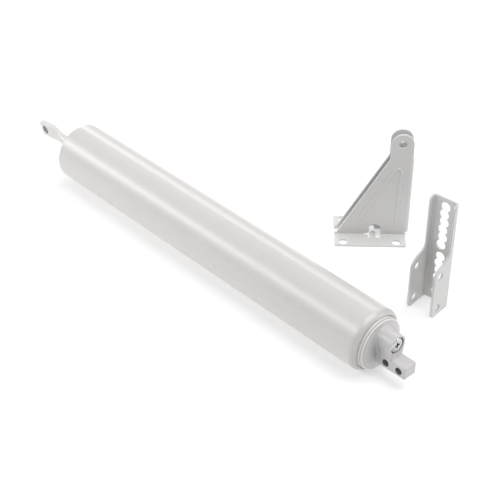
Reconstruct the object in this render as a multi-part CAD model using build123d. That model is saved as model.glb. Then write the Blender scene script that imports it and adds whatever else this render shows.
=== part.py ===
from build123d import *
import os

os.makedirs("parts", exist_ok=True)

# Storm door closer with its two brackets, as laid out on a table. Millimetres.
# X runs along the tube from the rod end to the valve end, Y points to the back, Z is up.
# Everything in the tube is drawn about the X axis and lifted onto the table at the end.

# Tube
tube_r = 25.4
tube_wall = 1.0
tube_length = 357.7
bore_r = tube_r - tube_wall
roll_r = 7.0
roll_set_in = 8.1
roll_lip_angle = 34
rod_end_roll_r = 2.2

# Rod and its eye
rod_r = 4.5
rod_chamfer = 0.8
running_gap = 0.05
eye_thickness = 4.2
eye_half_height = 7.7
eye_tip_x = -58.0
eye_hole_x = -51.3
eye_hole_r = 3.6
eye_shoulder_x = -37.5
eye_neck_x = -25.0
eye_corner_r = 2.8
eye_crank = 8
eye_spin = 8

# Rod end of the tube
cap_plug_r = bore_r - running_gap
rod_cap_front_x = tube_wall
rod_cap_depth = 10.0
rod_cap_back_x = rod_cap_front_x + rod_cap_depth
hub_r = 9.5
hub_front_x = -4.0
hub_mouth_r = 5.2
bushing_r = 7.5
bushing_flange_r = 10.0
bushing_flange = 1.5
wiper_thickness = 2.6

# Return spring, at rest with the door shut
wire_r = 1.5
coil_r = 16.0
coil_turns = 5
seat_thickness = 1.5
seat_r = 21.5
collar_r = 14.3
collar_length = 6.0

# Piston stack on the stud of the rod
stud_r = 3.5
stud_start_x = 307.0
washer_thickness = 2.0
front_washer_r = 21.0
rear_washer_r = 18.5
guide_length = 7.0
cup_floor = 4.0
cup_length = 11.0
cup_lip = 1.8
nut_height = 5.0
nut_flats = 11.0
stud_overhang = 2.0

# Valve cap. Stations marked "a" are measured outwards from the end of the tube.
plug_depth = 22.0
seal_groove_a = -17.0
seal_width = 3.4
seal_depth = 2.0
groove_r = 20.8
bead_r = 21.5
bead_edge_r = 20.7
face_r = 19.4
dome_a = 4.2
dome_edge_a = 2.4
dome_edge_r = 17.5
root_r = 1.4
boss_a = 16.7
arch_r = 8.35
screw_z = 8.54
side_half = 6.25
waist_z = -1.7
sole_z = -12.3
lug_a = 30.2
lug_corner_r = 1.3
pin_hole_r = 2.95
pin_hole_z = -7.05
near_pin_a = 12.0
far_pin_a = 24.4
filter_r = 12.0
filter_thickness = 3.0

# Adjusting screw
counterbore_r = 6.58
counterbore_depth = 7.2
screw_head_r = 5.95
screw_head = 3.5
head_round = 1.2
screw_set_in = 0.3
shank_r = 2.5
nose_a = -9.0
tip_r = 2.0
tip_length = 4.0
port_r = 0.9
recess_span = 5.4
recess_width = 1.4
recess_depth = 2.0

# Sheet of both brackets
sheet = 1.9
bend_r = 1.0

# Jamb bracket: u runs along the plates, v from the front plate to the rear one
jamb_place = (219.795, 98.034)
jamb_turn = 45.175
jamb_depth = 10.5
jamb_width = 62.0
jamb_side_bend = 3.0
jamb_web_top = 76.0
jamb_web_bottom = 4.5
slope_foot = (0.8, 1.5)
ear_left_u = 42.4
ear_r = 9.2
ear_z = 90.4
ear_hole_r = 3.3
flange_depth = 15.6
flange_width = 59.4
flange_corner_r = 1.5
flange_hole_r = 3.7
flange_hole_u = 7.2
flange_hole_spacing = 44.2
flange_hole_from_edge = 4.7
window_u = 33.55
window_r = 5.35
window_z = 6.6
window_reach = 4.6
window_foot = 3.2
window_shift = -4.9
tongue_u = 32.3
tongue_width = 4.7
tongue_end_v = 5.1
rib_width = 2.3
rib_height = 0.6
rib_left = (19.2, 16.2)
rib_peak = (52.5, 76.3)
rib_right = (50.9, 15.1)
rib_peak_r = 2.9

# Door bracket: s runs across the web, v from the web to the tips of the arms
door_place = (321.768, 94.472)
door_turn = 5.705
door_width = 23.25
door_height = 96.1
door_arm = 24.1
door_lip = 6.65
door_bend_outer = 3.2
lip_foot_z = 49.3
arm_top_z = 44.0
scallop_r = 4.15
scallop_pitch = 7.0
scallop_count = 6
scallop_s = 11.6
scallop_sway = 0.3
slot_tops = (42.4, 88.5)
arm_hole_r = 3.1
arm_hole_v = 16.4
arm_hole_z = (6.7, 37.1)


def turned(*outline):
    """Solid turned about the X axis from its (x, radius) corners."""
    return revolve(Plane.XZ * make_face(Polyline(*outline, close=True)), Axis.X)


def ring(x, length, inner, outer):
    """Plain ring about the X axis."""
    return turned((x, inner), (x + length, inner), (x + length, outer), (x, outer))


def across(x, z, radius, length):
    """Round bar along Y, centred on the X axis plane."""
    return Location((x, 0, z), (90, 0, 0)) * Cylinder(radius, length)


def along(x, z, radius, length):
    """Round bar along +X that starts at x."""
    return Plane((x, 0, z), x_dir=(0, 1, 0), z_dir=(1, 0, 0)) * Cylinder(
        radius, length, align=(Align.CENTER, Align.CENTER, Align.MIN)
    )


# Tube: its valve end is rolled in over the cap, its rod end over the rod cap
def make_tube():
    roll = (tube_length - roll_set_in, tube_r - roll_r)
    sweep_angle = 90 - roll_lip_angle
    outer_roll = CenterArc(roll, roll_r, roll_lip_angle, sweep_angle)
    inner_roll = CenterArc(roll, roll_r - tube_wall, roll_lip_angle, sweep_angle)
    hem = (rod_end_roll_r, tube_r - rod_end_roll_r)
    outer_hem = CenterArc(hem, rod_end_roll_r, 90, 90)
    inner_hem = CenterArc(hem, rod_end_roll_r - tube_wall, 90, 90)
    edges = [
        outer_roll,
        Line(outer_roll @ 1, outer_hem @ 0),
        outer_hem,
        Line(outer_hem @ 1, inner_hem @ 1),
        inner_hem,
        Line(inner_hem @ 0, inner_roll @ 1),
        inner_roll,
        Line(inner_roll @ 0, outer_roll @ 0),
    ]
    return revolve(Plane.XZ * make_face(edges), Axis.X)


# Rod end cap: a plug with a hub that holds the bushing and the wiper
def make_rod_end_cap():
    rim = tube_r - rod_end_roll_r
    return turned(
        (hub_front_x, hub_mouth_r),
        (hub_front_x, hub_r - 1),
        (hub_front_x + 1, hub_r),
        (0, hub_r),
        (0, rim - 1.2),
        (rod_cap_front_x, rim - 0.2),
        (rod_cap_front_x, rim),
        (rod_end_roll_r, cap_plug_r),
        (rod_cap_back_x, cap_plug_r),
        (rod_cap_back_x, bushing_r),
        (hub_front_x + 0.8, bushing_r),
        (hub_front_x + 0.8, hub_mouth_r),
    )


def make_rod_wiper():
    return ring(hub_front_x + 0.8, wiper_thickness, rod_r + running_gap, bushing_r)


def make_rod_bushing():
    front = hub_front_x + 0.8 + wiper_thickness
    return turned(
        (front, rod_r + running_gap),
        (rod_cap_back_x + bushing_flange, rod_r + running_gap),
        (rod_cap_back_x + bushing_flange, bushing_flange_r),
        (rod_cap_back_x, bushing_flange_r),
        (rod_cap_back_x, bushing_r),
        (front, bushing_r),
    )


def make_spring_seat():
    face = rod_cap_back_x + seat_thickness
    return turned(
        (rod_cap_back_x, bushing_flange_r + 0.3),
        (face + collar_length, bushing_flange_r + 0.3),
        (face + collar_length, collar_r - 2),
        (face + collar_length - 2, collar_r),
        (face, collar_r),
        (face, seat_r),
        (rod_cap_back_x, seat_r),
    )


# Return spring: one helix with both ends ground flat against the seat and the washer
def make_return_spring():
    start = rod_cap_back_x + seat_thickness
    length = stud_start_x - start
    path = Helix(length / coil_turns, length, coil_r, direction=(1, 0, 0))
    wire = sweep(Plane(path @ 0, z_dir=path % 0) * Circle(wire_r), path=path, is_frenet=True)
    slab = ring(start, length, coil_r - 3, coil_r + 3)
    return (Pos(start, 0, 0) * wire) & slab


# Rod: round bar, forged flat, pierced and slightly cranked at the eye, with a stud for the piston
def make_piston_rod():
    stack = 2 * washer_thickness + guide_length + cup_floor + nut_height
    stud_end_x = stud_start_x + stack + stud_overhang
    bar = turned(
        (eye_neck_x, 0),
        (eye_neck_x, rod_r),
        (stud_start_x - rod_chamfer, rod_r),
        (stud_start_x, rod_r - rod_chamfer),
        (stud_start_x, stud_r),
        (stud_end_x - rod_chamfer, stud_r),
        (stud_end_x, stud_r - rod_chamfer),
        (stud_end_x, 0),
    )
    neck = Plane((eye_neck_x, 0, 0), x_dir=(0, 1, 0), z_dir=(1, 0, 0))
    shoulder = neck.offset(eye_shoulder_x - eye_neck_x)
    eye_length = eye_shoulder_x - eye_tip_x
    section = shoulder * RectangleRounded(
        eye_thickness, 2 * eye_half_height, 0.45 * eye_thickness
    )
    outline = Pos((eye_shoulder_x + eye_tip_x) / 2, 0) * Rectangle(eye_length, 2 * eye_half_height)
    outline = fillet(outline.vertices().group_by(Axis.X)[0], eye_corner_r)
    paddle = extrude(section, -eye_length)
    paddle &= extrude(Plane.XZ * outline, eye_thickness, both=True)
    paddle -= across(eye_hole_x, 0, eye_hole_r, 4 * eye_thickness)

    hole_axis = Axis((eye_hole_x, 0, 0), (0, 1, 0))
    flare = loft([neck * Circle(rod_r), section.rotate(hole_axis, -eye_crank)])
    rod = bar + flare + paddle.rotate(hole_axis, -eye_crank)
    return rod.rotate(Axis.X, eye_spin)


def make_piston_front_washer():
    return ring(stud_start_x, washer_thickness, stud_r + running_gap, front_washer_r)


def make_piston_guide_ring():
    start = stud_start_x + washer_thickness
    end = start + guide_length
    return turned(
        (start, stud_r + running_gap),
        (end, stud_r + running_gap),
        (end, bore_r - 2),
        (end - 2, bore_r - running_gap),
        (start + 2, bore_r - running_gap),
        (start, bore_r - 2),
    )


# Rubber cup: its lip opens towards the valve cap and slides on the bore
def make_piston_cup():
    start = stud_start_x + washer_thickness + guide_length
    end = start + cup_length
    return turned(
        (start, stud_r + running_gap),
        (start + cup_floor, stud_r + running_gap),
        (start + cup_floor, bore_r - 2 * cup_lip - 1),
        (end, bore_r - cup_lip),
        (end, bore_r - running_gap),
        (start + cup_floor, bore_r - running_gap),
        (start, bore_r - 1.5),
    )


def make_piston_rear_washer():
    start = stud_start_x + washer_thickness + guide_length + cup_floor
    return ring(start, washer_thickness, stud_r + running_gap, rear_washer_r)


def make_piston_nut():
    start = stud_start_x + 2 * washer_thickness + guide_length + cup_floor
    hexagon = RegularPolygon(nut_flats / 2, 6, major_radius=False)
    plane = Plane((start, 0, 0), x_dir=(0, 1, 0), z_dir=(1, 0, 0))
    blank = extrude(plane * hexagon, nut_height)
    return blank - along(start, 0, stud_r + running_gap, nut_height)


# Valve cap: plug under the rolled edge, two beads, a domed face, the boss and the lug
def make_valve_cap():
    roll = (-roll_set_in, tube_r - roll_r)
    shoulder = CenterArc(
        roll, roll_r - tube_wall - running_gap, roll_lip_angle, 90 - roll_lip_angle
    )
    floor = seal_groove_a + seal_width
    groove = bore_r - seal_depth
    edges = [
        shoulder,
        Polyline(
            shoulder @ 1,
            (floor, cap_plug_r),
            (floor, groove),
            (seal_groove_a, groove),
            (seal_groove_a, cap_plug_r),
            (-plug_depth, cap_plug_r),
            (-plug_depth, filter_r + 0.1),
            (-plug_depth + filter_thickness, filter_r + 0.1),
            (-plug_depth + filter_thickness, 0),
            (dome_a, 0),
        ),
        ThreePointArc(
            (dome_a, 0), (dome_a - 0.4, dome_edge_r / 2), (dome_edge_a, dome_edge_r)
        ),
        Polyline((dome_edge_a, dome_edge_r), (1.5, face_r), (1.5, bead_edge_r - 0.5)),
        ThreePointArc((1.5, bead_edge_r - 0.5), (1.2, bead_edge_r), (0.6, bead_edge_r + 0.1)),
        Polyline((0.6, bead_edge_r + 0.1), (0, bead_edge_r)),
        ThreePointArc((0, bead_edge_r), (-0.9, bead_r), (-1.8, bead_edge_r)),
        Polyline((-1.8, bead_edge_r), (-2.1, groove_r - 0.3), (-2.8, groove_r), shoulder @ 0),
    ]
    body = revolve(Plane.XZ * make_face(edges), Axis.X)

    end_on = Plane((0, 0, 0), x_dir=(0, 1, 0), z_dir=(1, 0, 0))
    arch = Pos(0, screw_z) * Circle(arch_r)
    waist = Line((-side_half, waist_z), (side_half, waist_z))
    upper = make_hull([*arch.edges(), waist])
    sole_height = waist_z - sole_z
    middle_z = (waist_z + sole_z) / 2
    lower = Pos(0, middle_z) * Rectangle(2 * side_half, sole_height)
    section = upper + lower
    section = fillet(section.vertices().group_by(Axis.Y)[0], lug_corner_r)
    boss = extrude(end_on * section, boss_a)
    bar = Pos(0, middle_z) * RectangleRounded(2 * side_half, sole_height, lug_corner_r)
    lug = extrude(end_on * bar, lug_a)
    lug = fillet(lug.faces().sort_by(Axis.X)[-1].edges(), lug_corner_r - 0.1)
    cap = body + boss + lug
    root = [
        edge
        for edge in cap.edges()
        if edge.bounding_box().min.X > dome_edge_a + 0.05 and edge.bounding_box().max.X < dome_a
    ]
    cap = fillet(root, root_r)

    counterbore = along(boss_a - counterbore_depth, screw_z, counterbore_r, counterbore_depth + 1)
    shank_hole = along(nose_a - tip_length, screw_z, shank_r + running_gap, 40)
    port = along(-plug_depth, screw_z, port_r, 20)
    cap = cap - counterbore - shank_hole - port
    for station in (near_pin_a, far_pin_a):
        cap -= across(station, pin_hole_z, pin_hole_r, 4 * side_half)
    return Pos(tube_length, 0, 0) * cap


def make_valve_cap_seal():
    return ring(
        tube_length + seal_groove_a, seal_width, bore_r - seal_depth, bore_r
    )


def make_air_filter():
    return along(tube_length - plug_depth, 0, filter_r, filter_thickness)


# Adjusting screw: rounded head with a cross recess in the counterbore, and a plain shank
def make_adjusting_screw():
    face = boss_a - screw_set_in
    head = along(face - screw_head, screw_z, screw_head_r, screw_head)
    head = fillet(head.edges().sort_by(Axis.X)[-1], head_round)
    shank = along(nose_a, screw_z, shank_r, face - screw_head - nose_a)
    recess_bar = Box(2 * recess_depth, recess_width, recess_span)
    screw = head + shank
    for turn in (0, 90):
        screw -= Location((face, 0, screw_z), (turn, 0, 0)) * recess_bar
    return Pos(tube_length, 0, 0) * screw


# Plain plastic nose that closes the air port, carried by the screw without turning
def make_screw_tip():
    tip = Plane((nose_a - tip_length, 0, screw_z), x_dir=(0, 1, 0), z_dir=(1, 0, 0)) * Cone(
        port_r + 0.2, tip_r, tip_length, align=(Align.CENTER, Align.CENTER, Align.MIN)
    )
    return Pos(tube_length, 0, 0) * tip


def make_screw_spring_washer():
    back = boss_a - counterbore_depth
    front = boss_a - screw_set_in - screw_head
    cone = turned(
        (back, 5.6),
        (back + 0.6, 5.6),
        (front, 3.6),
        (front, shank_r + 0.3),
        (front - 0.6, shank_r + 0.3),
    )
    return Pos(tube_length, 0, screw_z) * cone


# Jamb bracket: one sheet folded into two slanted plates, a side web and two foot flanges
def jamb_flange():
    """Foot flange of the front plate with its bend, as far up as the straight plate."""
    bend_out = bend_r + sheet
    mid = sheet / 2
    path = FilletPolyline((-flange_depth, mid), (mid, mid), (mid, bend_out), radius=bend_r + mid)
    foot = extrude(Plane.YZ * trace(path, sheet), flange_width)
    corners = foot.edges().filter_by(Axis.Z).group_by(Axis.Y)[0]
    foot = fillet(corners, flange_corner_r)
    hole_v = flange_hole_from_edge - flange_depth
    for hole_u in (flange_hole_u, flange_hole_u + flange_hole_spacing):
        foot -= Pos(hole_u, hole_v, 0) * Cylinder(flange_hole_r, 4 * sheet)
    return foot


def jamb_window(shift):
    """Round-topped window that runs down through the bend into the flange."""
    centre = window_u + shift
    top = Location((centre, 0, window_z), (90, 0, 0)) * Cylinder(window_r, 4 * sheet)
    low = Pos(centre, sheet, window_z) * Box(
        2 * window_r,
        window_reach + sheet,
        4 * window_z,
        align=(Align.CENTER, Align.MAX, Align.MAX),
    )
    foot = Pos(centre - window_r, sheet, bend_r + sheet) * Box(
        window_foot, bend_r + sheet, 4 * sheet, align=(Align.MAX, Align.MAX, Align.MAX)
    )
    return top + low + foot


def jamb_tongue(shift):
    """Tongue left flat in the flange when the sheet was folded."""
    centre = tongue_u + shift
    root = -window_reach - 0.5
    tip = tongue_end_v - tongue_width / 2
    bar = Pos(centre, root, 0) * Box(
        tongue_width, tip - root, sheet, align=(Align.CENTER, Align.MIN, Align.MIN)
    )
    nose = Pos(centre, tip, 0) * Cylinder(
        tongue_width / 2, sheet, align=(Align.CENTER, Align.CENTER, Align.MIN)
    )
    return bar + nose


def make_jamb_bracket():
    mid = sheet / 2
    bend_out = bend_r + sheet
    fold = FilletPolyline(
        (0, mid),
        (jamb_width - mid, mid),
        (jamb_width - mid, jamb_depth - mid),
        (0, jamb_depth - mid),
        radius=jamb_side_bend - mid,
    )
    channel = Pos(0, 0, bend_out) * extrude(trace(fold, sheet), jamb_web_top - bend_out)
    ear_u = ear_left_u + ear_r
    slope = (jamb_web_top - slope_foot[1]) / (ear_left_u - slope_foot[0])
    foot_u = slope_foot[0] + (bend_out - slope_foot[1]) / slope
    waste = Polyline(
        (-1, bend_out),
        (foot_u, bend_out),
        (ear_left_u, jamb_web_top),
        (-1, jamb_web_top),
        close=True,
    )
    channel -= extrude(Plane.XZ * make_face(waste), -2 * jamb_depth)
    channel -= Pos(jamb_width - jamb_side_bend, -1, 0) * Box(
        2 * jamb_side_bend,
        2 * jamb_depth,
        jamb_web_bottom,
        align=(Align.MIN, Align.MIN, Align.MIN),
    )
    ear = Pos(ear_u, ear_z) * Circle(ear_r)
    ear += Pos(ear_u, jamb_web_top) * Rectangle(
        2 * ear_r, ear_z - jamb_web_top, align=(Align.CENTER, Align.MIN)
    )
    ear -= Pos(ear_u, ear_z) * Circle(ear_hole_r)
    ear_sheet = extrude(Plane.XZ * ear, -sheet)
    bracket = channel + ear_sheet + Pos(0, jamb_depth - sheet, 0) * ear_sheet

    spine = FilletPolyline(rib_left, rib_peak, rib_right, radius=rib_peak_r)
    outside = trace(spine, rib_width) + Pos(*rib_left) * Circle(rib_width / 2)
    outside += Pos(*rib_right) * Circle(rib_width / 2)
    inside = trace(spine, rib_width - 2 * rib_height)
    rib = extrude(Plane.XZ * outside, rib_height)
    rib = chamfer(rib.faces().sort_by(Axis.Y)[0].edges(), rib_height * 0.6)
    groove = Pos(0, sheet - rib_height, 0) * extrude(Plane.XZ * inside, -rib_height)

    halfway = Plane((0, jamb_depth / 2, 0), z_dir=(0, 1, 0))
    front = [jamb_flange(), rib, groove, jamb_window(0), jamb_tongue(0)]
    rear = [jamb_flange(), rib, groove, jamb_window(window_shift), jamb_tongue(window_shift)]
    rear = [mirror(shape, about=halfway) for shape in rear]
    for flange, raised, sunk, window, tongue in (front, rear):
        bracket = bracket + flange + raised - sunk - window + tongue
    return Location((*jamb_place, 0), (0, 0, jamb_turn)) * bracket


# Door bracket: a channel with deep lower arms, shallow upper lips and scalloped slots
def make_door_bracket():
    mid = sheet / 2
    fold = FilletPolyline(
        (mid, -door_arm),
        (mid, -mid),
        (door_width - mid, -mid),
        (door_width - mid, -door_arm),
        radius=door_bend_outer - mid,
    )
    channel = extrude(trace(fold, sheet), door_height)
    side = Polyline(
        (1, 0),
        (1, door_height),
        (-door_lip, door_height),
        (-door_lip, lip_foot_z),
        (-door_arm, arm_top_z),
        (-door_arm, 0),
        close=True,
    )
    profile = make_face(side)
    corner_radii = (
        ((-door_lip, door_height), 4.5),
        ((-door_lip, lip_foot_z), 7.0),
        ((-door_arm, arm_top_z), 9.5),
        ((-door_arm, 0), 4.0),
    )
    for corner, radius in corner_radii:
        vertex = profile.vertices().sort_by_distance(corner)[0]
        profile = fillet(vertex, radius)
    bracket = channel & extrude(Plane.YZ * profile, door_width)
    for top in slot_tops:
        for step in range(scallop_count):
            sway = scallop_sway if step % 2 == 0 else -scallop_sway
            place = Location((scallop_s + sway, 0, top - step * scallop_pitch), (90, 0, 0))
            bracket -= place * Cylinder(scallop_r, 4 * sheet)
    for height in arm_hole_z:
        place = Location((door_width / 2, -arm_hole_v, height), (0, 90, 0))
        bracket -= place * Cylinder(arm_hole_r, 2 * door_width)
    return Location((*door_place, 0), (0, 0, door_turn)) * bracket


on_axis = {
    "tube": make_tube(),
    "rod_end_cap": make_rod_end_cap(),
    "rod_wiper": make_rod_wiper(),
    "rod_bushing": make_rod_bushing(),
    "spring_seat": make_spring_seat(),
    "return_spring": make_return_spring(),
    "piston_rod": make_piston_rod(),
    "piston_front_washer": make_piston_front_washer(),
    "piston_guide_ring": make_piston_guide_ring(),
    "piston_cup": make_piston_cup(),
    "piston_rear_washer": make_piston_rear_washer(),
    "piston_nut": make_piston_nut(),
    "valve_cap": make_valve_cap(),
    "valve_cap_seal": make_valve_cap_seal(),
    "air_filter": make_air_filter(),
    "adjusting_screw": make_adjusting_screw(),
    "screw_tip": make_screw_tip(),
    "screw_spring_washer": make_screw_spring_washer(),
}
pieces = {name: Pos(0, 0, tube_r) * piece for name, piece in on_axis.items()}
pieces["jamb_bracket"] = make_jamb_bracket()
pieces["door_bracket"] = make_door_bracket()

# The origin is on the table under the middle of the whole set
whole_set = Compound(children=[Compound(piece.solids()) for piece in pieces.values()])
extent = whole_set.bounding_box()
middle = extent.center()
for name, piece in pieces.items():
    placed = Pos(-middle.X, -middle.Y, 0) * piece
    export_step(Compound(placed.solids()), f"parts/{name}.step")
print("middle", round(middle.X, 3), round(middle.Y, 3), "size", extent.size)
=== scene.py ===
import math

import bmesh
import bpy
from mathutils import Matrix, Vector


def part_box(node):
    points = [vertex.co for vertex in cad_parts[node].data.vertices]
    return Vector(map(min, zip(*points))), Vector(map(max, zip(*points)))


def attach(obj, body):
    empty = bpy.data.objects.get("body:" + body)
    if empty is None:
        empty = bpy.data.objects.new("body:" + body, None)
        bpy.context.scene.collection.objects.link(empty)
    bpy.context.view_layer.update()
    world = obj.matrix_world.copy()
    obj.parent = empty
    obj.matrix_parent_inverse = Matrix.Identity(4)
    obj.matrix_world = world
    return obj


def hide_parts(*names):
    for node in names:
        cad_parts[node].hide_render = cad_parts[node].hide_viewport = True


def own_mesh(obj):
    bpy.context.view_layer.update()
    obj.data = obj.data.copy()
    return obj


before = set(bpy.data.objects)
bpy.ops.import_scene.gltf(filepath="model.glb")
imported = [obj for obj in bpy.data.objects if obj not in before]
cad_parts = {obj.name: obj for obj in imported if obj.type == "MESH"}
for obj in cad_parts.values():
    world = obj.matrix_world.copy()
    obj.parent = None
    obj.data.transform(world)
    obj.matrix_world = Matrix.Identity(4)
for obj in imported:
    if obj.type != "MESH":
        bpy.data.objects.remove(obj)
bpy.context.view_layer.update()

# Storm door closer: looks for the tube, its end fittings and the two brackets.
# Metres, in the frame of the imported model: X runs along the tube, Z is up, the floor is at zero.

MM = 0.001

# Places worked out from the frame
tube_low, tube_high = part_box("tube")
axis_y = (tube_low.y + tube_high.y) / 2
axis_z = (tube_low.z + tube_high.z) / 2
TUBE_AXIS = Vector((0, axis_y, axis_z))
screw_low, screw_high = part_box("adjusting_screw")
SCREW_AXIS = Vector((0, axis_y, (screw_low.z + screw_high.z) / 2))
lug_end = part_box("valve_cap")[1].x
eye_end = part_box("piston_rod")[0].x

# Tube: the length of its rolled edge
ROLLED_EDGE = 6.5 * MM
# Valve cap: from its face to the end of its lug, its inner bead, and its pin holes below the tube's axis
LUG_REACH = 30.2 * MM
BEAD_R = 20 * MM
PIN_HOLE_R = 3.0 * MM
PIN_HOLE_DROP = 7.05 * MM
PIN_HOLES_FROM_END = (5.8 * MM, 18.2 * MM)
# Rod: its eye hole, out from the tube, and where the forged eye turns into round rod, from its end
EYE_HOLE_R = 3.6 * MM
EYE_HOLE_OUT = 51.3 * MM
FORGED_FROM = 36 * MM
FORGED_TO = 44 * MM
# Copies of the CAD's shapes: corners nearer than JOINED are one, and creases stay sharp
JOINED = 0.0002 * MM
CREASE = math.radians(40)
# Outer edges: which are rounded, how far, the largest face that counts as stray, and their mark
SHARP_CORNER = math.radians(35)
SHEET_ROUNDING = 0.32 * MM
CAST_ROUNDING = 0.22 * MM
FORGED_ROUNDING = 0.30 * MM
SLIVER = 0.0005 * MM
EDGE_MARK = "edge"


# Shader maths

class Field:
    """One output in a finish's nodes. Sums with it add Math nodes."""

    def __init__(self, finish, socket):
        self.finish = finish
        self.socket = socket

    def math(self, operation, *terms):
        """The result of a Math node on fields and numbers."""
        return self.finish.node("ShaderNodeMath", {"operation": operation}, dict(enumerate(terms)))

    def __add__(self, other):
        return self.math("ADD", self, other)

    __radd__ = __add__

    def __sub__(self, other):
        return self.math("SUBTRACT", self, other)

    def __rsub__(self, other):
        return self.math("SUBTRACT", other, self)

    def __mul__(self, other):
        return self.math("MULTIPLY", self, other)

    __rmul__ = __mul__

    def root(self):
        return self.math("SQRT", self)

    def wave(self):
        return self.math("SINE", self)

    def above(self, low, high):
        """0 below low, 1 above high, smooth between them."""
        settings = {"interpolation_type": "SMOOTHSTEP"}
        sockets = {"Value": self, "From Min": low, "From Max": high}
        return self.finish.node("ShaderNodeMapRange", settings, sockets)


class Finish:
    """A material with one Principled surface and the nodes that vary it."""

    # A Mix node's sockets for colours, which share their names with its other sockets
    FIRST_COLOUR = 6
    SECOND_COLOUR = 7
    MIXED_COLOUR = 2

    def __init__(self, name, **constants):
        self.material = bpy.data.materials.new(name)
        self.material.use_nodes = True
        self.tree = self.material.node_tree
        self.surface = self.tree.nodes["Principled BSDF"]
        for socket, value in constants.items():
            self.set(socket.replace("_", " "), value)
        self.place = self.node("ShaderNodeTexCoord", take="Object")

    def plug(self, socket, value):
        """Gives a socket a link, a colour or a plain value."""
        if isinstance(value, Field):
            self.tree.links.new(value.socket, socket)
        elif socket.type == "RGBA":
            socket.default_value = (*value, 1)
        else:
            socket.default_value = value

    def set(self, socket, value):
        """Fills or links a socket of the surface."""
        self.plug(self.surface.inputs[socket], value)

    def node(self, kind, settings=None, sockets=None, take=0):
        """Adds a node: its settings are made first, then its sockets are filled or linked."""
        node = self.tree.nodes.new(kind)
        for setting, value in (settings or {}).items():
            setattr(node, setting, value)
        for socket, value in (sockets or {}).items():
            self.plug(node.inputs[socket], value)
        return Field(self, node.outputs[take])

    def about(self, centre, stretch=(1, 1, 1)):
        """Object coordinates moved to a centre and then stretched."""
        shift = [-place * factor for place, factor in zip(centre, stretch)]
        sockets = {"Vector": self.place, "Location": shift, "Scale": stretch}
        return self.node("ShaderNodeMapping", {"vector_type": "POINT"}, sockets)

    def noise(self, scale, detail, rough=0.5, where=None):
        """Cloudy noise from 0 to 1, with scale clouds to the metre."""
        sockets = {
            "Vector": where or self.place,
            "Scale": scale,
            "Detail": detail,
            "Roughness": rough,
        }
        return self.node("ShaderNodeTexNoise", sockets=sockets)

    def specks(self, scale):
        """Distance to the nearest of many scattered points."""
        sockets = {"Vector": self.place, "Scale": scale}
        return self.node("ShaderNodeTexVoronoi", {"feature": "F1"}, sockets, take="Distance")

    def parts(self, where):
        """The three numbers of a place."""
        split = self.node("ShaderNodeSeparateXYZ", sockets={"Vector": where})
        return [Field(self, number) for number in split.socket.node.outputs]

    def blend(self, share, first, second):
        """A colour that goes from first to second as share goes from 0 to 1."""
        sockets = {"Factor": share, self.FIRST_COLOUR: first, self.SECOND_COLOUR: second}
        return self.node("ShaderNodeMix", {"data_type": "RGBA"}, sockets, take=self.MIXED_COLOUR)

    def rubbed_edge(self):
        """1 on the rounded edges that round_edges marked, 0 elsewhere."""
        return self.node("ShaderNodeAttribute", {"attribute_name": EDGE_MARK}, take="Fac")

    def bore(self, x, z, radius):
        """1 on the wall of a hole along Y, 0 outside its rim."""
        across, _, up = self.parts(self.about((x, 0, z)))
        return 1 - (across * across + up * up).root().above(radius, radius + 0.2 * MM)

    def relief(self, height, depth):
        """Bump of a height that goes from 0 to 1 over depth metres."""
        self.set("Normal", self.node("ShaderNodeBump", sockets={"Height": height, "Distance": depth}))


# Paints

def satin_tube_paint():
    """Pale warm satin powder coat of the drawn tube, with painted shade that darkens it towards the valve
    end and painted shade with some dust low on its lip.
    """
    paint = Finish("tube_paint", Coat_Weight=1.0, Coat_Roughness=0.36, Coat_IOR=1.5, IOR=1.5)
    cloud = paint.noise(9, detail=3)
    drawn = paint.noise(420, detail=3, rough=0.6, where=paint.about(TUBE_AXIS, (0.03, 1, 1)))
    powder = paint.noise(2600, detail=2)
    peel = paint.noise(620, detail=2, rough=0.45)
    shade = cloud * 0.5 + drawn * 0.25 + powder * 0.25
    colour = paint.blend(shade, (0.592, 0.567, 0.550), (0.664, 0.638, 0.620))
    along, across, up = paint.parts(paint.about(TUBE_AXIS))
    smudge = paint.noise(130, detail=4, rough=0.6).above(0.52, 0.72) * cloud.above(0.40, 0.62)
    colour = paint.blend(smudge * 0.16, colour, (0.42, 0.41, 0.40))
    # Painted shade: the tube's colour is darkened along its length towards the valve end.
    valve_end_shade = along.above(tube_low.x, tube_high.x + 60 * MM)
    colour = paint.blend(valve_end_shade * 0.45, colour, (0.490, 0.471, 0.459))
    # Painted shade on the lower side of the rolled lip, with some cloudy dust all round it.
    low_side_shade = 1 - (up - across * 0.8).above(-8 * MM, 30 * MM)
    rolled = along.above(tube_high.x - ROLLED_EDGE, tube_high.x - 2 * MM)
    lip_shade_and_dust = rolled * (low_side_shade * 0.7 + cloud * 0.3)
    paint.set("Base Color", paint.blend(lip_shade_and_dust * 0.65, colour, (0.33, 0.32, 0.325)))
    paint.set("Roughness", cloud * 0.08 + drawn * 0.07 + 0.30)
    paint.relief(peel * 0.7 + powder * 0.12 + drawn * 0.18, depth=0.08 * MM)
    return paint.material


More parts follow.
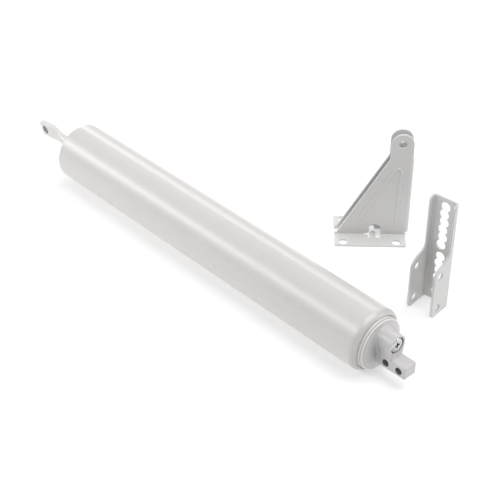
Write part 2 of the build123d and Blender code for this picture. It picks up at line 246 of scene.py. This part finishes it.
def cast_paint(name, light, dark, grain, light_and_shade=None):
    """Paint over a die casting: cooler, softer edged and a little pitted, with its own painted highlights
    and shade on top.
    """
    paint = Finish(name, Coat_Weight=0.8, Coat_Roughness=0.32, Coat_IOR=1.5, IOR=1.5)
    cloud = paint.noise(70, detail=3)
    skin = paint.noise(grain, detail=3, rough=0.55)
    pitted = paint.noise(160, detail=1).above(0.52, 0.66)
    pits = (1 - paint.specks(640).above(0.05, 0.20)) * pitted
    edge = paint.rubbed_edge() * cloud.above(0.42, 0.6)
    colour = paint.blend(cloud * 0.6 + skin * 0.4, dark, light)
    colour = paint.blend(pits * 0.6, colour, tuple(0.7 * part for part in dark))
    colour = paint.blend(edge * 0.5, colour, (0.74, 0.74, 0.73))
    # Painted highlights and shade of one casting, where it has them.
    if light_and_shade:
        colour = light_and_shade(paint, colour)
    paint.set("Base Color", colour)
    paint.set("Roughness", skin * 0.12 + cloud * 0.06 + 0.33)
    paint.relief(skin * 0.6 - pits * 0.4, depth=0.07 * MM)
    return paint.material


def valve_cap_light_and_shade(paint, colour):
    """Painted highlights on the beads, and painted shade in the groove between them, on one side where
    the lug starts and in the pin holes.
    """
    face = Vector((lug_end - LUG_REACH, axis_y, axis_z))
    along, across, up = paint.parts(paint.about(face))
    radius = (across * across + up * up).root()
    # Painted highlight: the beads are made paler all round.
    bead_highlight = radius.above(BEAD_R - 0.9 * MM, BEAD_R - 0.3 * MM)
    colour = paint.blend(bead_highlight * 0.8, colour, (0.72, 0.705, 0.69))
    # Painted shade: a dark line in the groove between the beads and at the foot of the inner bead.
    between = along.above(-0.6 * MM, -0.1 * MM) * (1 - along.above(0.35 * MM, 0.85 * MM))
    groove_foot_shade = radius.above(BEAD_R - 1.2 * MM, BEAD_R - 0.8 * MM)
    groove_foot_shade = groove_foot_shade * (1 - radius.above(BEAD_R - 0.5 * MM, BEAD_R - 0.1 * MM))
    colour = paint.blend(between * bead_highlight * 0.5 + groove_foot_shade * 0.4, colour, (0.25, 0.25, 0.25))
    # Painted shade on one side of the lug where it starts from the face.
    root_shade_area = (1 - along.above(2 * MM, 19 * MM)) * (1 - radius.above(8 * MM, 17 * MM))
    root_shade = root_shade_area * (1 - across.above(-9 * MM, 3 * MM)) * along.above(0.5 * MM, 3 * MM)
    colour = paint.blend(root_shade * 0.55, colour, (0.27, 0.275, 0.285))
    # Painted shade inside the pin holes.
    for from_end in PIN_HOLES_FROM_END:
        hole = paint.bore(lug_end - from_end, axis_z - PIN_HOLE_DROP, PIN_HOLE_R)
        colour = paint.blend(hole * 0.8, colour, (0.20, 0.20, 0.205))
    return colour


def sheet_paint(name, worn):
    """Light grey enamel on folded sheet, with the colour that it takes where its coat is worn on the
    edges.
    """
    paint = Finish(name, Coat_Weight=0.35, Coat_Roughness=0.28, Coat_IOR=1.5, IOR=1.5)
    cloud = paint.noise(38, detail=3)
    mill = paint.noise(300, detail=3, rough=0.6, where=paint.about((0, 0, 0), (1, 1, 0.06)))
    peel = paint.noise(700, detail=2, rough=0.45)
    dust = paint.noise(1900, detail=2)
    shade = cloud * 0.5 + mill * 0.25 + dust * 0.25
    colour = paint.blend(shade, (0.550, 0.546, 0.541), (0.645, 0.641, 0.636))
    edge = paint.rubbed_edge() * cloud.above(0.30, 0.55)
    paint.set("Base Color", paint.blend(edge * 0.5, colour, worn))
    paint.set("Roughness", cloud * 0.10 + mill * 0.06 + 0.33)
    paint.relief(peel * 0.72 + dust * 0.10 + mill * 0.18, depth=0.08 * MM)
    return paint.material


# Bare metals

def nickel_rod():
    """Ground and plated rod, with forging marks at the eye and painted shade in its eye hole."""
    metal = Finish("rod_nickel")
    along = metal.parts(metal.place)[0]
    forged = 1 - along.above(eye_end + FORGED_FROM, eye_end + FORGED_TO)
    eye_hole_shade = metal.bore(tube_low.x - EYE_HOLE_OUT, axis_z, EYE_HOLE_R + 0.25 * MM)
    ground = metal.noise(1500, detail=3, rough=0.6, where=metal.about(TUBE_AXIS, (1, 0.05, 0.05)))
    hammer = metal.noise(240, detail=3, rough=0.5)
    cloud = metal.noise(60, detail=3)
    scale = metal.noise(900, detail=3, rough=0.6)
    bright = metal.blend(cloud, (0.50, 0.50, 0.495), (0.62, 0.617, 0.61))
    dull = metal.blend(scale, (0.70, 0.683, 0.665), (0.80, 0.783, 0.765))
    colour = metal.blend(forged * 0.8, bright, dull)
    # Painted shade darkens the wall of the eye hole.
    metal.set("Base Color", metal.blend(eye_hole_shade * 0.7, colour, (0.22, 0.205, 0.195)))
    metal.set("Metallic", 1 - forged * 0.6)
    metal.set("Roughness", forged * 0.30 + ground * 0.08 + cloud * 0.06 + 0.20)
    marks = forged * (hammer * 0.8 + scale * 0.2)
    metal.relief(marks + (1 - forged) * ground * 0.18, depth=0.06 * MM)
    return metal.material


def turning_rings(metal, axis, closeness):
    """Fine rings about an axis along X, as a lathe leaves them."""
    _, across, up = metal.parts(metal.about(axis))
    return ((across * across + up * up).root() * closeness).wave()


def chrome_screw():
    """Polished head with faint turning rings about its own axis."""
    metal = Finish("screw_chrome", Metallic=1.0)
    rings = turning_rings(metal, SCREW_AXIS, closeness=9000)
    haze = metal.noise(180, detail=3)
    metal.set("Base Color", metal.blend(haze, (0.50, 0.505, 0.515), (0.68, 0.685, 0.69)))
    metal.set("Roughness", haze * 0.10 + 0.09)
    metal.relief(rings * 0.25 + haze * 0.75, depth=0.012 * MM)
    return metal.material


def zinc_steel():
    """Blue-white zinc on turned washers and pressed parts."""
    metal = Finish("plated_steel", Metallic=1.0)
    rings = turning_rings(metal, TUBE_AXIS, closeness=7000)
    spangle = metal.specks(260)
    cloud = metal.noise(90, detail=3)
    colour = metal.blend(cloud, (0.54, 0.56, 0.58), (0.70, 0.71, 0.72))
    metal.set("Base Color", metal.blend(spangle * 0.5, colour, (0.62, 0.61, 0.56)))
    metal.set("Roughness", cloud * 0.16 + spangle * 0.08 + 0.24)
    metal.relief(rings * 0.3 + cloud * 0.7, depth=0.015 * MM)
    return metal.material


def spring_wire():
    """Oil-tempered wire: dark, with drawing lines and a thin brown film."""
    metal = Finish("spring_wire", Metallic=0.9)
    drawn = metal.noise(1400, detail=3, rough=0.6)
    film = metal.noise(130, detail=3)
    metal.set("Base Color", metal.blend(film, (0.16, 0.155, 0.15), (0.30, 0.285, 0.265)))
    metal.set("Roughness", drawn * 0.14 + film * 0.10 + 0.26)
    metal.relief(drawn, depth=0.012 * MM)
    return metal.material


# Rubber, plastic and felt

def moulded_rubber():
    """Black cup and ring seal with a grey bloom."""
    rubber = Finish("rubber", IOR=1.5, Specular_IOR_Level=0.35)
    bloom = rubber.noise(110, detail=4)
    grain = rubber.noise(1800, detail=2)
    rubber.set("Base Color", rubber.blend(bloom, (0.018, 0.018, 0.019), (0.050, 0.049, 0.047)))
    rubber.set("Roughness", bloom * 0.18 + grain * 0.06 + 0.46)
    rubber.relief(grain * 0.6 + bloom * 0.4, depth=0.02 * MM)
    return rubber.material


def turned_plastic():
    """Cream plastic with tool marks round it: bushing, guide ring and screw tip."""
    plastic = Finish("plastic", IOR=1.48)
    tool_marks = plastic.noise(2200, detail=2, rough=0.5, where=plastic.about(TUBE_AXIS, (1, 0.04, 0.04)))
    cloud = plastic.noise(60, detail=3)
    plastic.set("Base Color", plastic.blend(cloud, (0.66, 0.64, 0.58), (0.76, 0.745, 0.70)))
    plastic.set("Roughness", tool_marks * 0.12 + cloud * 0.08 + 0.32)
    plastic.relief(tool_marks, depth=0.015 * MM)
    return plastic.material


def pressed_felt():
    """Brown-grey felt of the wiper and the air filter."""
    felt = Finish("felt", Roughness=0.95, Sheen_Weight=0.35, Sheen_Roughness=0.5)
    hair = felt.noise(2400, detail=5, rough=0.7)
    clump = felt.noise(500, detail=3)
    fibre = hair * 0.6 + clump * 0.4
    felt.set("Base Color", felt.blend(fibre, (0.20, 0.185, 0.165), (0.44, 0.42, 0.39)))
    felt.relief(hair * 0.7 + clump * 0.3, depth=0.12 * MM)
    return felt.material


FINISHES = {
    "tube_paint": satin_tube_paint(),
    "cap_paint": cast_paint(
        "cap_paint",
        light=(0.575, 0.563, 0.560),
        dark=(0.480, 0.471, 0.468),
        grain=420,
        light_and_shade=valve_cap_light_and_shade,
    ),
    "rod_cap_paint": cast_paint(
        "rod_cap_paint", light=(0.69, 0.68, 0.665), dark=(0.61, 0.60, 0.59), grain=300
    ),
    "bracket_paint": sheet_paint("bracket_paint", worn=(0.71, 0.71, 0.70)),
    "channel_paint": sheet_paint("channel_paint", worn=(0.34, 0.34, 0.345)),
    "rod_nickel": nickel_rod(),
    "screw_chrome": chrome_screw(),
    "plated_steel": zinc_steel(),
    "spring_wire": spring_wire(),
    "rubber": moulded_rubber(),
    "plastic": turned_plastic(),
    "felt": pressed_felt(),
}
NODE_FINISHES = {
    "tube": "tube_paint",
    "rod_end_cap": "rod_cap_paint",
    "rod_bushing": "plastic",
    "rod_wiper": "felt",
    "spring_seat": "plated_steel",
    "return_spring": "spring_wire",
    "piston_front_washer": "plated_steel",
    "piston_guide_ring": "plastic",
    "piston_cup": "rubber",
    "piston_rear_washer": "plated_steel",
    "piston_nut": "plated_steel",
    "piston_rod": "rod_nickel",
    "valve_cap": "cap_paint",
    "valve_cap_seal": "rubber",
    "air_filter": "felt",
    "adjusting_screw": "screw_chrome",
    "screw_tip": "plastic",
    "screw_spring_washer": "plated_steel",
    "jamb_bracket": "bracket_paint",
    "door_bracket": "channel_paint",
}


# Pieces

def finish_nodes():
    """Gives every CAD node its finish in every slot."""
    for node, finish in NODE_FINISHES.items():
        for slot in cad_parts[node].material_slots:
            slot.material = FINISHES[finish]


def merged_copy(node):
    """A CAD node's shape with its loose triangles joined."""
    bm = bmesh.new()
    bm.from_mesh(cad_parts[node].data)
    bmesh.ops.remove_doubles(bm, verts=bm.verts, dist=JOINED)
    return bm


def stand_in(bm, name, node, body):
    """A new piece that stands for a CAD node in its finish, smooth but for its creases."""
    mesh = bpy.data.meshes.new(name)
    bm.to_mesh(mesh)
    bm.free()
    mesh.shade_smooth()
    mesh.set_sharp_from_angle(angle=CREASE)
    mesh.materials.append(FINISHES[NODE_FINISHES[node]])
    piece = bpy.data.objects.new(name, mesh)
    bpy.context.collection.objects.link(piece)
    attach(piece, body)
    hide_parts(node)
    return piece


def round_edges(node, name, body, radius):
    """Stands for a CAD node: its shape with every outer edge rounded as paint and dies leave it."""
    bm = merged_copy(node)
    outer = [
        edge
        for edge in bm.edges
        if len(edge.link_faces) == 2 and edge.is_convex and edge.calc_face_angle() > SHARP_CORNER
    ]
    made = bmesh.ops.bevel(
        bm,
        geom=outer,
        offset=radius,
        offset_type="OFFSET",
        affect="EDGES",
        segments=2,
        profile=0.5,
        material=-1,
        clamp_overlap=False,
        loop_slide=False,
    )
    mark = bm.loops.layers.float.new(EDGE_MARK)
    for face in made["faces"]:
        for loop in face.loops:
            loop[mark] = 1.0
    low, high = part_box(node)
    for vert in bm.verts:
        vert.co = [min(max(c, a), b) for c, a, b in zip(vert.co, low, high)]
    bmesh.ops.remove_doubles(bm, verts=bm.verts, dist=SLIVER)
    bmesh.ops.dissolve_degenerate(bm, edges=bm.edges, dist=SLIVER)
    piece = stand_in(bm, name, node, body)
    shading = piece.modifiers.new("even_shading", "WEIGHTED_NORMAL")
    shading.keep_sharp = True


def shortening_spring():
    """Stands for the CAD spring in its finish, with a mesh of its own."""
    coil = merged_copy("return_spring")
    piece = stand_in(coil, "return_spring_coil", "return_spring", "tube")
    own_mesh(piece)


# Floor, light and camera

FLOOR_REACH = 6
SKY_STRENGTH = 0.31
# Each lamp's place, the point that it faces, its width along X, its height and its watts
LAMPS = {
    "back_strip": ((-1.1, 1.45, 1.10), (-0.05, 0, 0.02), 3.4, 0.25, 13.5),
    "front_strip": ((-1.1, -1.15, 1.05), (-0.05, -0.05, 0.02), 3.4, 0.34, 22.5),
    "key": ((0.50, 0.25, 1.80), (0, 0, 0.03), 1.5, 1.5, 25),
    "end_fill": ((1.25, 1.10, 0.55), (0.17, -0.02, 0.03), 0.8, 0.8, 5.5),
}
CAMERA_PLACE = (0.620121, -0.593643, 0.6124)
CAMERA_HEADING = math.radians(136.925)
CAMERA_PITCH = math.radians(36.784)
CAMERA_LENS = 88.596


def studio_floor():
    """A pale card that glows a little, so that it comes out white."""
    bm = bmesh.new()
    bmesh.ops.create_grid(bm, x_segments=1, y_segments=1, size=FLOOR_REACH)
    mesh = bpy.data.meshes.new("floor")
    bm.to_mesh(mesh)
    bm.free()
    floor = bpy.data.objects.new("floor", mesh)
    bpy.context.collection.objects.link(floor)
    card = Finish("floor_card", Roughness=0.9, Specular_IOR_Level=0.1)
    card.set("Base Color", (0.60, 0.60, 0.60))
    card.set("Emission Color", (1.0, 1.0, 1.0))
    card.set("Emission Strength", 0.42)
    mesh.materials.append(card.material)


def soft_box(name, place, aim, width, height, watts):
    """Rectangular lamp at a place, turned towards a point, with its width along X."""
    lamp = bpy.data.lights.new(name, "AREA")
    lamp.shape = "RECTANGLE"
    lamp.size = width
    lamp.size_y = height
    lamp.energy = watts
    box = bpy.data.objects.new(name, lamp)
    bpy.context.collection.objects.link(box)
    back = (Vector(place) - Vector(aim)).normalized()
    side = Vector((1, 0, 0))
    side = (side - back * side.dot(back)).normalized()
    turn = Matrix((side, back.cross(side), back)).transposed().to_4x4()
    box.matrix_world = Matrix.Translation(place) @ turn


def studio_light():
    """A white sky and the lamps."""
    world = bpy.data.worlds.new("studio")
    bpy.context.scene.world = world
    world.use_nodes = True
    sky = world.node_tree.nodes["Background"]
    sky.inputs["Color"].default_value = (1, 1, 1, 1)
    sky.inputs["Strength"].default_value = SKY_STRENGTH
    for name, lamp in LAMPS.items():
        soft_box(name, *lamp)


def photo_camera():
    """The camera where the photograph was taken from."""
    camera = bpy.data.cameras.new("photo_view")
    camera.lens = CAMERA_LENS
    camera.sensor_width = 36
    camera.clip_start = 0.05
    camera.clip_end = 30
    stand = bpy.data.objects.new("photo_view", camera)
    bpy.context.collection.objects.link(stand)
    level = Vector((math.cos(CAMERA_HEADING), math.sin(CAMERA_HEADING), 0))
    look = level * math.cos(CAMERA_PITCH) - Vector((0, 0, math.sin(CAMERA_PITCH)))
    stand.rotation_mode = "QUATERNION"
    stand.rotation_quaternion = look.to_track_quat("-Z", "Y")
    stand.location = CAMERA_PLACE
    bpy.context.scene.camera = stand


finish_nodes()
round_edges("jamb_bracket", "jamb_bracket_sheet", "jamb_bracket", SHEET_ROUNDING)
round_edges("door_bracket", "door_bracket_sheet", "door_bracket", SHEET_ROUNDING)
round_edges("valve_cap", "valve_cap_casting", "tube", CAST_ROUNDING)
round_edges("piston_rod", "piston_rod_forging", "rod", FORGED_ROUNDING)
shortening_spring()
studio_floor()
studio_light()
photo_camera()
bpy.context.scene.view_settings.view_transform = "Standard"
